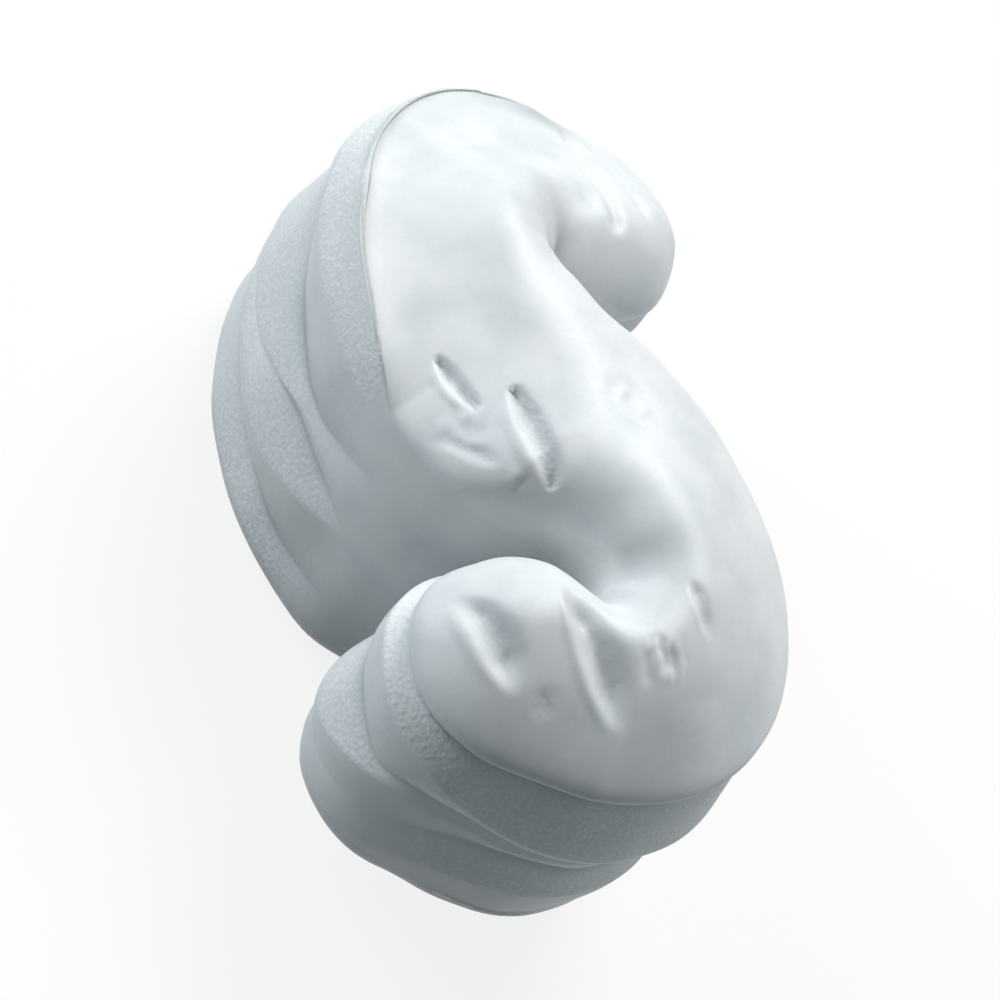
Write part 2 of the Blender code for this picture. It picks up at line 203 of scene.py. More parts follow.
# The marks on the front, in millimetres from the middle of the piece: start, end, half-width,
# depth. Each has its raised lip along one side. A valley has a soft floor with no edge.
VALLEYS = (
    ((-8.2, -10.4), (-5.9, -15.6), 0.66, 0.48),
    ((-3.9, -10.4), (-0.9, -17.2), 0.74, 0.60),
    ((-5.0, -15.2), (-4.4, -16.6), 0.50, 0.06),
    ((2.1, -10.2), (3.2, -13.0), 0.34, 0.18),
    ((-7.4, -2.2), (-5.2, -4.2), 0.30, 0.12),
)
PITS = (
    ((-7.2, 1.7), (-5.9, -1.1), 0.40, 0.26),
    ((-4.4, -0.2), (-3.1, -5.3), 0.64, 0.36),
)
# Round dimples: centre, radius, depth, height of the ring inside it.
DIMPLES = (
    ((1.0, -0.9), 1.5, 0.16, 0.10),
    ((1.5, -0.4), 0.6, 0.10, 0.0),
    ((-1.0, -8.9), 0.55, 0.14, 0.0),
)
# Patches of small ragged flecks: centre, radius, depth.
FLECKS = (
    ((0.6, -14.2), 1.1, 0.10),
    ((-6.6, -2.0), 1.1, 0.06),
    ((-4.7, -4.8), 0.5, 0.10),
)
# Soft creases that cross the front of the upper hook: start, bend, end, half-width, depth.
WRINKLES = (
    ((4.4, 18.2), (3.9, 15.0), (4.2, 11.2), 0.35, 0.22),
    ((5.9, 17.4), (6.2, 15.3), (6.4, 12.9), 0.35, 0.22),
    ((-1.6, 16.6), (0.6, 14.6), (1.9, 12.0), 0.8, 0.16),
    ((-3.8, 15.4), (-2.2, 12.2), (-2.0, 8.8), 0.9, 0.14),
    ((1.4, 16.4), (2.6, 14.2), (2.8, 12.2), 0.6, 0.14),
)

# The profile of a pit or valley, in its own half-widths from its middle line.
FLOOR_SHARE = 0.3            # how far out a pit's floor is flat
LIP_AT = 1.35
LIP_WIDTH = 0.40
BEYOND = 9.0                 # stands for any place past its two ends
LEAST_HALF = 0.02 * MM
TAPER_SHARE = 0.3            # the share of its length over which it runs out at each end
VALLEY_LIP = 0.25            # the lip's height as a share of the depth
PIT_LIP = 0.45
VALLEY_ROUGH = 0.6           # how rough a valley's floor is, where a pit's is 1
FLOOR_RELIEF = 0.07 * MM     # how far the roughness of a floor stands out
FLOOR_WEAR = 0.7             # how much of a facet's cells a floor shows
# Painted shade: a pit's floor is painted towards the crease shade colour by this share of a
# crease's.
FLOOR_SHADE = 0.45           # how dark a floor is, as a share of a crease

# The profile of a dimple's ring, as shares of the dimple's radius, and the flecks' ragged outline.
RING_AT = 0.45
RING_WIDTH = 0.16
FLECK_WIDTH = 0.36 * MM
FLECK_STRETCH = np.array((1.0, 0.4, 0.4))
FLECK_EDGE = 0.3
FLECK_LIP = 0.5

# The marks fade in where the skin turns to the front, and from this height up.
FACING_FROM = 0.15
FACING_RUN = 0.35
MARKS_FROM = 12.0 * MM
MARKS_RUN = 3.0 * MM

# The foam's texture and its painted glints: its noise, and what each part of it adds to the colour,
# gloss and relief.
GRAINS_PER_CELL = 1.1
CLOUD_SCALE = 0.3 / MM
NOISE_DETAIL = 3.0
FACET_RAMP = (0.10, 0.90)    # between these values, each goes from nothing to full
CLOUD_RAMP = (0.42, 0.66)
MOTTLE_RAMP = (0.35, 0.80)
GLINT_RAMP = (0.40, 0.64)
GRAIN_IN_MOTTLE = 0.6
CELL_IN_MOTTLE = 0.5
MOTTLE_COLOUR = 0.12
CLOUD_COLOUR = 0.46
CLOUD_COLOUR_LOST = 0.30     # how much less of the clouds a facet shows
# Painted glints: how much of the bright grains, and of every facet, is painted with the glint
# colour.
GRAIN_GLINT = 0.8
FACET_GLINT = 0.2
CREASE_SHADE_SHARE = 0.8
FACET_ROUGHNESS = 0.18
MOTTLE_ROUGHNESS = 0.08
CELL_RELIEF_FACET = 0.9
CELL_RELIEF_SKIN = 0.06
GRAIN_RELIEF_FACET = 0.6
GRAIN_RELIEF_SKIN = 0.05

# The foam's gloss, and the light that passes through its skin.
FOAM_IOR = 1.5
COAT = 0.6
COAT_ROUGHNESS = 0.55
GLOW = 0.35
GLOW_DEPTH = 0.9 * MM

# The studio: the lamps' width and distance, and how far each one leans from overhead and where to.
LAMP_SIZE = 0.30
LAMP_DISTANCE = 0.55
KEY_AT = (radians(39.0), radians(60.0))
LEFT_AT = (radians(62.0), radians(142.0))
RIGHT_AT = (radians(66.0), radians(350.0))
WHITE = (1.0, 1.0, 1.0)
PAPER = (0.95, 0.95, 0.95)
FLOOR_HALF = 2.0
FLOOR_SINK = 0.01 * MM       # how far the floor lies under the object
SENSOR_WIDTH = 36.0          # in millimetres
CLIP_END = 10.0

# The colour sockets of a Mix node, whose names belong to its other sockets too.
MIX_LOW = 6
MIX_HIGH = 7
MIX_RESULT = 2


class StrokeSizes(bpy.types.PropertyGroup):
    """The sizes of the S stroke."""

    middle_run: FloatProperty(
        name="Middle run",
        description="Straight run in the S's middle",
        default=2.64 * MM,
        unit="LENGTH",
    )
    middle_heading: FloatProperty(
        name="Middle heading",
        description="Heading of the straight run from the upper hook to the lower",
        default=radians(-49.4),
        subtype="ANGLE",
    )
    upper_radius: FloatProperty(
        name="Upper radius",
        description="Even radius of the upper hook",
        default=7.84 * MM,
        unit="LENGTH",
    )
    upper_turn: FloatProperty(
        name="Upper turn",
        description="How far the upper hook turns",
        default=radians(139.8),
        subtype="ANGLE",
    )
    upper_tightens: FloatProperty(
        name="Upper tightens",
        description="How much the upper hook tightens to its tip",
        default=1.54,
    )
    upper_tail: FloatProperty(
        name="Upper tail",
        description="Straight tail of the upper hook",
        default=2.56 * MM,
        unit="LENGTH",
    )
    lower_radius: FloatProperty(
        name="Lower radius",
        description="Even radius of the lower hook",
        default=6.22 * MM,
        unit="LENGTH",
    )
    lower_turn: FloatProperty(
        name="Lower turn",
        description="How far the lower hook turns",
        default=radians(147.4),
        subtype="ANGLE",
    )
    lower_tightens: FloatProperty(
        name="Lower tightens",
        description="How much the lower hook tightens to its tip",
        default=1.78,
    )
    lower_tail: FloatProperty(
        name="Lower tail",
        description="Straight tail of the lower hook",
        default=2.70 * MM,
        unit="LENGTH",
    )
    upper_tip_half: FloatProperty(
        name="Upper tip half-width",
        description="Half-width at the upper tip",
        default=5.44 * MM,
        unit="LENGTH",
    )
    upper_loop_half: FloatProperty(
        name="Upper loop half-width",
        description="Half-width in the upper hook",
        default=5.27 * MM,
        unit="LENGTH",
    )
    middle_half: FloatProperty(
        name="Middle half-width",
        description="Half-width in the middle",
        default=7.02 * MM,
        unit="LENGTH",
    )
    lower_loop_half: FloatProperty(
        name="Lower loop half-width",
        description="Half-width in the lower hook",
        default=6.43 * MM,
        unit="LENGTH",
    )
    lower_tip_half: FloatProperty(
        name="Lower tip half-width",
        description="Half-width at the lower tip",
        default=5.46 * MM,
        unit="LENGTH",
    )
    upper_fill: FloatProperty(
        name="Upper fill",
        description="Foam that fills the upper bend",
        default=1.58 * MM,
        unit="LENGTH",
    )
    upper_fill_at: FloatProperty(
        name="Upper fill at",
        description="Where it lies, from the middle",
        default=8.37 * MM,
        unit="LENGTH",
    )
    lower_fill: FloatProperty(
        name="Lower fill",
        description="Foam that fills the lower bend",
        default=1.12 * MM,
        unit="LENGTH",
    )
    lower_fill_at: FloatProperty(
        name="Lower fill at",
        description="Where it lies, from the middle",
        default=8.10 * MM,
        unit="LENGTH",
    )
    depth: FloatProperty(
        name="Depth", description="Front to back", default=21.0 * MM, unit="LENGTH"
    )
    front_round: FloatProperty(
        name="Front round",
        description="Depth of the front's rounded edge",
        default=3.93 * MM,
        unit="LENGTH",
    )


class SkinDetail(bpy.types.PropertyGroup):
    """How strong the folds and marks of the skin are."""

    fold_strength: FloatProperty(
        name="Folds", description="How strongly the folds stand out", default=1.0, min=0.0, max=2.0
    )
    mark_strength: FloatProperty(
        name="Marks",
        description="How deep the pits and dimples are",
        default=1.0,
        min=0.0,
        max=2.0,
    )
    swell_height: FloatProperty(
        name="Uneven swelling",
        description="Height of the front's soft unevenness",
        default=0.10 * MM,
        unit="LENGTH",
    )
    swell_width: FloatProperty(
        name="Swelling width",
        description="Width of the front's soft unevenness",
        default=3.2 * MM,
        unit="LENGTH",
    )


class FoamFinish(bpy.types.PropertyGroup):
    """The colours and the texture of the foam."""

    foam_colour: FloatVectorProperty(
        name="Foam",
        description="Colour of the smooth skin",
        default=(0.81, 0.82, 0.825),
        subtype="COLOR",
    )
    cell_colour: FloatVectorProperty(
        name="Cells",
        description="Colour between the foam cells",
        default=(0.60, 0.65, 0.67),
        subtype="COLOR",
    )
    # Painted highlight: the colour of the glints painted on the facets' cells.
    painted_glint_colour: FloatVectorProperty(
        name="Bright cells",
        description="Colour of the cells that catch the light",
        default=(0.93, 0.94, 0.94),
        subtype="COLOR",
    )
    # Painted shade: the colour that the creases, the pits' floors and the top of the upper hook are
    # painted towards.
    crease_shade_colour: FloatVectorProperty(
        name="Creases",
        description="Colour in the creases",
        default=(0.40, 0.46, 0.48),
        subtype="COLOR",
    )
    cell_size: FloatProperty(
        name="Cell size", description="Width of a foam cell", default=0.24 * MM, unit="LENGTH"
    )
    cell_relief: FloatProperty(
        name="Cell relief",
        description="Height of the cells on the folds",
        default=0.035 * MM,
        unit="LENGTH",
    )
    roughness: FloatProperty(
        name="Roughness", description="Roughness of the smooth skin", default=0.48
    )


class StudioSettings(bpy.types.PropertyGroup):
    """The plain studio: lamps, floor and camera."""

    key_power: FloatProperty(
        name="Key lamp", description="Power of the lamp behind it", default=2.55
    )
    left_power: FloatProperty(
        name="Left lamp", description="Power of the low left lamp", default=1.75
    )
    right_power: FloatProperty(
        name="Right lamp", description="Power of the low right lamp", default=0.55
    )
    sky: FloatProperty(
        name="Room light", description="Strength of the even room light", default=0.08
    )
    shade_tint: FloatVectorProperty(
        name="Shade tint",
        description="Colour of the light in the shade",
        default=(0.91, 1.0, 1.04),
        subtype="COLOR",
    )
    floor_colour: FloatVectorProperty(
        name="Floor",
        description="Colour of the floor",
        default=(0.27, 0.31, 0.33),
        subtype="COLOR",
    )
    shadow_share: FloatProperty(
        name="Shadow", description="How much of the shadow the white floor keeps", default=0.16
    )
    lens: FloatProperty(
        name="Lens", description="The camera's focal length in millimetres", default=216.0
    )
    tilt: FloatProperty(
        name="Tilt",
        description="How far the camera leans from overhead",
        default=radians(43.0),
        subtype="ANGLE",
    )
    lean_heading: FloatProperty(
        name="Lean heading",
        description="Where the camera leans to",
        default=radians(223.54),
        subtype="ANGLE",
    )
    distance: FloatProperty(
        name="Distance",
        description="Camera to the middle of the view",
        default=273.5 * MM,
        unit="LENGTH",
    )
    view_right: FloatProperty(
        name="View right",
        description="The view's middle, right of the front's middle",
        default=-5.27 * MM,
        unit="LENGTH",
    )
    view_up: FloatProperty(
        name="View up",
        description="The view's middle, above the front's middle",
        default=-5.60 * MM,
        unit="LENGTH",
    )


def smooth(t):
    """A ramp from 0 to 1 that starts and ends level."""
    t = np.clip(t, 0.0, 1.0)
    return t * t * (3.0 - 2.0 * t)


def blurred(values, step, reach):
    """The values evened out along the stroke by a bell curve of this reach."""
    count = int(3.0 * reach / step)
    bell = np.exp(-0.5 * (np.arange(-count, count + 1) * step / reach) ** 2)
    return np.convolve(np.pad(values, count, mode="edge"), bell / bell.sum(), mode="valid")


def at_most(values, limit):
    """The values, levelling off as they near the limit."""
    return values / (1.0 + (values / limit) ** FOLD_HARDNESS) ** (1.0 / FOLD_HARDNESS)


class Stroke:
    """The S's middle line and widths, at stations counted from its middle to each tip."""

    def __init__(self, sizes):
        self.sizes = sizes
        upper_arc = sizes.upper_radius * sizes.upper_turn
        lower_arc = sizes.lower_radius * sizes.lower_turn
        self.first = -(sizes.middle_run / 2 + upper_arc + sizes.upper_tail)
        self.last = sizes.middle_run / 2 + lower_arc + sizes.lower_tail
        self.along = np.linspace(self.first, self.last, SPINE_STEPS)
        self.step = self.along[1] - self.along[0]
        past_middle = np.abs(self.along) - sizes.middle_run / 2
        upper = np.clip(past_middle / upper_arc, 0.0, 1.0) ** sizes.upper_tightens
        lower = np.clip(past_middle / lower_arc, 0.0, 1.0) ** sizes.lower_tightens
        turned = np.where(self.along < 0.0, sizes.upper_turn * upper, sizes.lower_turn * lower)
        self.heading = blurred(sizes.middle_heading - turned, self.step, BEND_BLEND)
        self.x = self.walked(np.cos(self.heading))
        self.y = self.walked(np.sin(self.heading))
        self.half = self.half_widths()
        self.left = self.side_widths(1, sizes.upper_fill, -sizes.upper_fill_at)
        self.right = self.side_widths(-1, sizes.lower_fill, sizes.lower_fill_at)

    def walked(self, rate):
        """The running sum of a rate, with 0 at the stroke's middle."""
        total = np.concatenate([[0.0], np.cumsum((rate[1:] + rate[:-1]) / 2 * self.step)])
        return total - np.interp(0.0, self.along, total)

    def at(self, station, values):
        return np.interp(station, self.along, values)

    def half_widths(self):
        """Half of the stroke's width at each station, eased between the five given widths."""
        sizes = self.sizes
        places = (self.first, self.first * LOOP_SHARE, 0.0, self.last * LOOP_SHARE, self.last)
        halves = (
            sizes.upper_tip_half,
            sizes.upper_loop_half,
            sizes.middle_half,
            sizes.lower_loop_half,
            sizes.lower_tip_half,
        )
        count = np.arange(len(places))
        passed = np.interp(self.along, places, count)
        eased = np.floor(passed) + smooth(passed - np.floor(passed))
        return np.interp(eased, count, halves)

    def side_widths(self, side, fill, fill_at):
        """The width on one side, 1 for the left: filled inside its bend, but clear of itself."""
        filled = self.half + fill * np.exp(-(((self.along - fill_at) / FILL_REACH) ** 2))
        bend = np.gradient(self.heading, self.step) * side
        unfolded = at_most(filled, FOLD_SHARE / np.maximum(bend, 1.0))
        return blurred(np.minimum(unfolded, self.room_beside(side)), self.step, BEND_BLEND)

    def room_beside(self, side):
        """How wide each station may be on one side before it meets another strand of the stroke.

        Where two strands meet, each keeps room in proportion to its own width, and the tips more.
        """
        middle = np.stack([self.x, self.y], axis=1)
        sideways = np.stack([-np.sin(self.heading), np.cos(self.heading)], axis=1) * side
        claim = self.half * (1.0 + TIP_CLAIM * smooth(np.abs(self.along) / self.last))
        widest = self.half.max() * 2.0
        widths = np.linspace(0.0, widest, ROOM_STEPS)
        room = np.full(len(self.along), widest)
        for i, station in enumerate(self.along):
            others = np.abs(self.along - station) > SAME_STRAND
            walls = middle[i] + sideways[i] * widths[:, None]
            away = np.linalg.norm(walls[:, None] - middle[others][None], axis=2)
            meets = (away / claim[others]).min(axis=1) < widths / claim[i]
            if meets.any():
                room[i] = widths[meets.argmax()] - BARREL - SLOT_GAP / 2
        return room

    def tip_share(self, station, start):
        """How far a station is from this share of its half to the tip: (upper, lower)."""
        upper = (station / self.first - start) / (1.0 - start)
        lower = (station / self.last - start) / (1.0 - start)
        return smooth(upper), smooth(lower)

    def front_height(self, station):
        upper = UPPER_FALL * smooth((-station - UPPER_FALL_FROM) / UPPER_FALL_RUN)
        lower = LOWER_FALL * smooth((station - LOWER_FALL_FROM) / LOWER_FALL_RUN)
        dip = UPPER_TIP_DIP * self.tip_share(station, DIP_FROM_SHARE)[0]
        return self.sizes.depth - upper - lower - dip

    def back_height(self, station):
        upper, lower = self.tip_share(station, LIFT_FROM_SHARE)
        return UPPER_TIP_LIFT * upper + LOWER_TIP_LIFT * lower


class Section:
    """Rows down one side of every rib: how far behind the front, and how proud the skin is."""

    def __init__(self, stroke, stations, lines, side, strength):
        self.stations = stations
        self.inside = np.clip(stations, stroke.first, stroke.last)
        self.half = stroke.at(self.inside, stroke.half)
        self.width = stroke.at(self.inside, stroke.left if side > 0 else stroke.right)
        past = np.abs(stations - self.inside) / self.half
        self.narrowed = np.sqrt(np.maximum(1.0 - past**2, 0.0))
        self.front = stroke.front_height(self.inside)
        self.back = stroke.back_height(self.inside)
        self.fall = stroke.sizes.depth - self.front
        self.sill = self.front - self.back - BACK_ROUND
        self.lines = [self.line(points, strength) for points in lines]
        self.round = self.edge_round(stroke.sizes.front_round, side, past)
        self.lean = self.edge_lean(side)
        self.dome = LOWER_DOME * smooth(self.inside / (2.0 * LEAN_RUN))
        top = np.exp(-(((stations - TOP_SHADE_AT) / TOP_SHADE_REACH) ** 2))
        self.rim_shade = TOP_SHADE * top * (side < 0)
        self.rows = []
        self.past_sill = False
        self.add_front()
        self.add_folds()
        self.add_back()

    def edge_round(self, full, side, past):
        """How deep the front's edge is rounded: less on the inside of a hook."""
        within = smooth((-side * self.inside - INSIDE_FROM) / INSIDE_RUN) * (1.0 - smooth(past))
        edge = full + (INSIDE_ROUND - full) * within
        return np.minimum(edge, self.lines[0][0] / ROUND_TO_CREASE)

    def edge_lean(self, side):
        """How far the front leans down on this side: up on the inside of a hook."""
        turn = np.clip(side * self.inside / LEAN_RUN, -1.0, 1.0)
        strongest = np.where(self.inside < 0.0, UPPER_LEAN, LOWER_LEAN)
        return strongest * turn * (3.0 - turn**2) / 2.0 * self.narrowed * self.width / self.half

    def line(self, points, strength):
        """A fold line's distance behind the local front, and how proud it is, at every rib."""
        along, behind, proud = np.array(points).T * MM
        upper_end, lower_end = self.stations[0], self.stations[-1]
        along = np.where(along < 0.0, along * upper_end / along[0], along * lower_end / along[-1])
        even = np.linspace(upper_end, lower_end, SPINE_STEPS)
        step = even[1] - even[0]
        inner = smooth(np.minimum(even - upper_end, lower_end - even) / (3.0 * LINE_BLEND))
        eased = []
        for values in (behind, proud):
            straight = np.interp(even, along, values)
            softer = straight + (blurred(straight, step, LINE_BLEND) - straight) * inner
            eased.append(np.interp(self.stations, even, softer))
        return eased[0] - self.fall, eased[1] * strength

    def shade_of(self, proud):
        """How dark the painted shade of a crease is that stands this proud, so less than 0 where it
        shows.
        """
        return np.clip(-proud / FULL_FOLD, 0.0, DARKEST)

    def share_at(self, behind):
        """The share of the half-width that the rounded front has reached."""
        return np.sqrt(1.0 - (1.0 - np.clip(behind / self.round, 0.0, 1.0)) ** 2)

    def add(self, behind, share, proud, facet=0.0, crease=0.0):
        """A row: in front of the sill it takes part in the front's lean and dome."""
        if not self.past_sill:
            drooped = share + np.sqrt(1.0 - share**2) - 1.0
            raised = share * (1.0 - share)
            behind = behind + np.where(self.lean > 0.0, self.lean * drooped, self.lean * raised)
            behind = behind - self.dome * (1.0 - share**2)
        every = np.ones(len(self.stations))
        row = (behind, share, proud, facet, crease)
        self.rows.append([value * every for value in row])

    def add_front(self):
        """From the middle line down to the front's rim, and round that to the first crease."""
        crease, depth = self.lines[0]
        rim = crease - RIM_HEIGHT
        strength = self.shade_of(depth)
        end = np.arccos(1.0 - np.clip(rim / self.round, 0.0, 1.0))
        for share in np.linspace(0.0, 1.0, TOP_ROWS):
            angle = end * share
            behind = self.round * (1.0 - np.cos(angle))
            rises = smooth((share - RIM_PROUD_FROM) / (1.0 - RIM_PROUD_FROM))
            shade = smooth((share - TOP_SHADE_FROM) / (1.0 - TOP_SHADE_FROM))
            proud = RIM_PROUD * strength * rises
            self.add(behind, np.sin(angle), proud, 0.0, self.rim_shade * shade)
        for share in np.linspace(0.0, 1.0, RIM_ROWS + 1)[1:]:
            behind = rim + (crease - rim) * share
            roll = 1.0 - np.sqrt(1.0 - share**2)
            proud = RIM_PROUD * strength + (depth - RIM_PROUD * strength) * roll
            shade = np.maximum(share**CREASE_FADE * strength, self.rim_shade)
            self.add(behind, self.share_at(behind), proud, ROUND_WEAR * share, shade)

    def add_folds(self):
        """Facets rise from each crease to its ridge, and rounds fall from the ridge to the next."""
        lines = [*self.lines, (self.sill, np.zeros(len(self.stations)))]
        top = lines[0][0]
        for number, (near, far) in enumerate(zip(lines[:-1], lines[1:])):
            bottom = np.maximum(far[0], top + LINE_GAP)
            left = (len(lines) - 1 - number) * LINE_GAP
            bottom = np.minimum(bottom, self.sill - left + LINE_GAP)
            bottom = np.maximum(bottom, top + LINE_GAP / 5)
            rises = number % 2 == 0
            wear = np.clip((far[1] - near[1]) / FULL_FOLD, 0.0, 1.0) if rises else ROUND_WEAR
            strength = self.shade_of(near[1] if rises else far[1])
            rows = FACET_ROWS if rises else ROUND_ROWS
            for share in np.linspace(0.0, 1.0, rows + 1)[1:]:
                behind = top + (bottom - top) * share
                eased = share if rises else share**ROUND_FALL
                proud = near[1] + (far[1] - near[1]) * eased
                shade = (1.0 - share if rises else share) ** CREASE_FADE * strength
                self.add(behind, self.share_at(behind), proud, wear, shade)
            top = bottom

    def add_back(self):
        """The rounded back edge and the cut face."""
        self.past_sill = True
        for angle in np.linspace(0.0, pi / 2, BACK_ROWS + 1)[1:]:
            share = BACK_FLAT_SHARE + (1.0 - BACK_FLAT_SHARE) * np.cos(angle)
            self.add(self.sill + BACK_ROUND * np.sin(angle), share, 0.0, EDGE_WEAR)
        for share in np.linspace(BACK_FLAT_SHARE, 0.0, FLAT_ROWS + 1)[1:]:
            self.add(self.sill + BACK_ROUND, share, 0.0, 1.0)


def side_of_skin(stroke, stations, lines, side, strength):
    """The points of one side of the skin, their facet mask and their mask of painted crease shade.
    """
    section = Section(stroke, stations, lines, side, strength)
    behind, share, proud, facet, crease = np.array(section.rows).transpose(1, 2, 0)
    inside = section.inside
    heading = stroke.at(inside, stroke.heading)
    ahead = np.stack([np.cos(heading), np.sin(heading)], axis=1)
    outward = np.stack([-ahead[:, 1], ahead[:, 0]], axis=1) * side
    sideways = outward * (section.width * section.narrowed)[:, None]
    middle = np.stack([stroke.at(inside, stroke.x), stroke.at(inside, stroke.y)], axis=1)
    depth = behind / (section.front - section.back)[:, None]
    swell = BARREL * (1.0 - (2.0 * depth - 1.0) ** 2) - BACK_NARROWING * depth
    wide = share * (1.0 + (swell + proud * share) / section.half[:, None])
    reach = ahead * (stations - inside)[:, None] + sideways
    place = middle[:, None] + reach[:, None] * wide[:, :, None]
    height = section.front[:, None] - behind
    return np.dstack([place, height]), facet, crease


def rib_stations(stroke):
    """The ribs' stations, closer together round each tip."""
    cap = int(RIBS * CAP_SHARE)
    turn = np.linspace(0.0, pi / 2, cap)
    upper = stroke.first - stroke.sizes.upper_tip_half * np.cos(turn)
    body = np.linspace(stroke.first, stroke.last, RIBS - 2 * cap + 2)[1:-1]
    lower = stroke.last + stroke.sizes.lower_tip_half * np.sin(turn)
    return np.concatenate([upper, body, lower])


def around(left, right):
    """One side's rows down, then the other's back up."""
    return np.concatenate([left, right[:, -2::-1]], axis=1)


def lens_pit(x, y, start, end, half_width, soft):
    """How deep (0 to 1) each point lies in a pit with a lens-shaped outline, and on its lip."""
    length = np.linalg.norm(end - start)
    ahead = (end - start) / length
    along = ((x - start[0]) * ahead[0] + (y - start[1]) * ahead[1]) / length
    beside = -(x - start[0]) * ahead[1] + (y - start[1]) * ahead[0]
    lens = np.sqrt(np.clip(1.0 - (2.0 * along - 1.0) ** 2, 0.0, 1.0))
    inside = (along > 0.0) & (along < 1.0)
    across = np.where(inside, beside / (half_width * lens + LEAST_HALF), BEYOND)
    taper = smooth(along / TAPER_SHARE) * smooth((1.0 - along) / TAPER_SHARE)
    if soft:
        floor = np.exp(-(across**2)) * taper
    else:
        floor = 1.0 - smooth((np.abs(across) - FLOOR_SHARE) / (1.0 - FLOOR_SHARE))
    lip = np.exp(-(((across + LIP_AT) / LIP_WIDTH) ** 2)) * taper
    return floor, lip


def away_from(x, y, centre, radius):
    """Each point's distance from a round mark's centre, in the mark's radii."""
    return np.hypot(x - centre[0] * MM, y - centre[1] * MM) / (radius * MM)


def away_from_run(x, y, near, far):
    """Each point's distance from the nearest place on a straight run."""
    run = far - near
    share = ((x - near[0]) * run[0] + (y - near[1]) * run[1]) / (run @ run)
    share = np.clip(share, 0.0, 1.0)
    return np.hypot(x - near[0] - run[0] * share, y - near[1] - run[1] * share)


def marks(points, strength):
    """How far the marks press the front in (minus) or raise it (plus), and how rough it is."""
    x, y = points[:, 0], points[:, 1]
    height = np.zeros(x.shape)
    rough = np.zeros(x.shape)
    kinds = ((VALLEYS, True, VALLEY_LIP, VALLEY_ROUGH), (PITS, False, PIT_LIP, 1.0))
    for pits, soft, lip_share, roughness in kinds:
        for start, end, half_width, depth in pits:
            ends = (np.array(start) * MM, np.array(end) * MM)
            floor, lip = lens_pit(x, y, *ends, half_width * MM, soft)
            height += (lip_share * lip - floor) * depth * MM
            rough = np.maximum(rough, floor * roughness)
    ragged = uneven(points * FLECK_STRETCH, FLECK_WIDTH)
    height += FLOOR_RELIEF * ragged * rough
    torn = smooth(ragged / FLECK_EDGE) - FLECK_LIP * smooth(-ragged / FLECK_EDGE)
    for centre, radius, depth in FLECKS:
        height -= depth * MM * torn * np.exp(-(away_from(x, y, centre, radius) ** 4))
    for centre, radius, depth, ring in DIMPLES:
        away = away_from(x, y, centre, radius)
        height -= depth * MM * np.exp(-(away**4))
        height += ring * MM * np.exp(-(((away - RING_AT) / RING_WIDTH) ** 2))
    for start, bend, end, half_width, depth in WRINKLES:
        start, bend, end = (np.array(place) * MM for place in (start, bend, end))
        away = np.minimum(away_from_run(x, y, start, bend), away_from_run(x, y, bend, end))
        height -= depth * MM * np.exp(-((away / (half_width * MM)) ** 2))
    return height * strength, rough


def uneven(points, width):
    """Soft unevenness, from -1 to 1, of bumps about this wide."""
    return np.array([noise.noise(Vector(place)) for place in points / width])


def skin_grid(stroke, detail):
    """The plain skin as a grid of points, with its facet mask and its mask of painted crease shade.
    """
    stations = rib_stations(stroke)
    left = side_of_skin(stroke, stations, LEFT_LINES, 1, detail.fold_strength)
    right = side_of_skin(stroke, stations, RIGHT_LINES, -1, detail.fold_strength)
    points = around(left[0], right[0])
    facet = around(left[1], right[1])
    crease = around(left[2], right[2])
    low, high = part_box(NODE)
    flat = points.reshape(-1, 3)
    middle = (flat.min(axis=0) + flat.max(axis=0)) / 2
    points[:, :, 0] += (low.x + high.x) / 2 - middle[0]
    points[:, :, 1] += (low.y + high.y) / 2 - middle[1]
    return points, facet, crease


def read_values(items, name, width=1):
    """One property of every item of a mesh, as an array with a row for each item."""
    values = np.zeros(len(items) * width)
    items.foreach_get(name, values)
    return values.reshape(-1, width) if width > 1 else values


def press_marks(data, detail):
    """Moves the closed skin in and out along its normals, by its marks and its unevenness."""
    points = read_values(data.vertices, "co", 3)
    normals = read_values(data.vertices, "normal", 3)
    facing = smooth((normals[:, 2] - FACING_FROM) / FACING_RUN)
    on_front = facing * smooth((points[:, 2] - MARKS_FROM) / MARKS_RUN)
    pressed, rough = marks(points, detail.mark_strength)
    swell = uneven(points, detail.swell_width) * detail.swell_height
    lift = pressed * on_front + swell * smooth(points[:, 2] / BACK_ROUND)
    points += normals * lift[:, None]
    data.vertices.foreach_set("co", points.ravel())
    # The pits' floors show the facets' cells and get painted shade, as the creases do.
    for name, share in (("facet", FLOOR_WEAR), ("crease", FLOOR_SHADE)):
        mask = data.attributes[name].data
        shown = np.maximum(read_values(mask, "value"), rough * on_front * share)
        mask.foreach_set("value", shown)
    data.update()


def skin_mesh(points, masks):
    """A grid wrapped round the stroke, closed along its seam and at its tips."""
    ribs, rows = points.shape[:2]
    grid = bmesh.new()
    bmesh.ops.create_grid(grid, x_segments=ribs - 1, y_segments=rows - 1, size=1.0)
    for name in masks:
        grid.verts.layers.float.new(name)
    data = bpy.data.meshes.new("foam_skin")
    grid.to_mesh(data)
    grid.free()
    flat = read_values(data.vertices, "co", 3)
    rib = np.rint((flat[:, 0] + 1.0) / 2.0 * (ribs - 1)).astype(int)
    row = np.rint((flat[:, 1] + 1.0) / 2.0 * (rows - 1)).astype(int)
    data.vertices.foreach_set("co", points[rib, row].ravel())
    for name, mask in masks.items():
        data.attributes[name].data.foreach_set("value", mask[rib, row])
    closed = bmesh.new()
    closed.from_mesh(data)
    bmesh.ops.remove_doubles(closed, verts=closed.verts, dist=MM / 500)
    bmesh.ops.dissolve_degenerate(closed, edges=closed.edges, dist=MM / 1000)
    bmesh.ops.recalc_face_normals(closed, faces=closed.faces)
    closed.to_mesh(data)
    closed.free()
    data.shade_smooth()
    return data


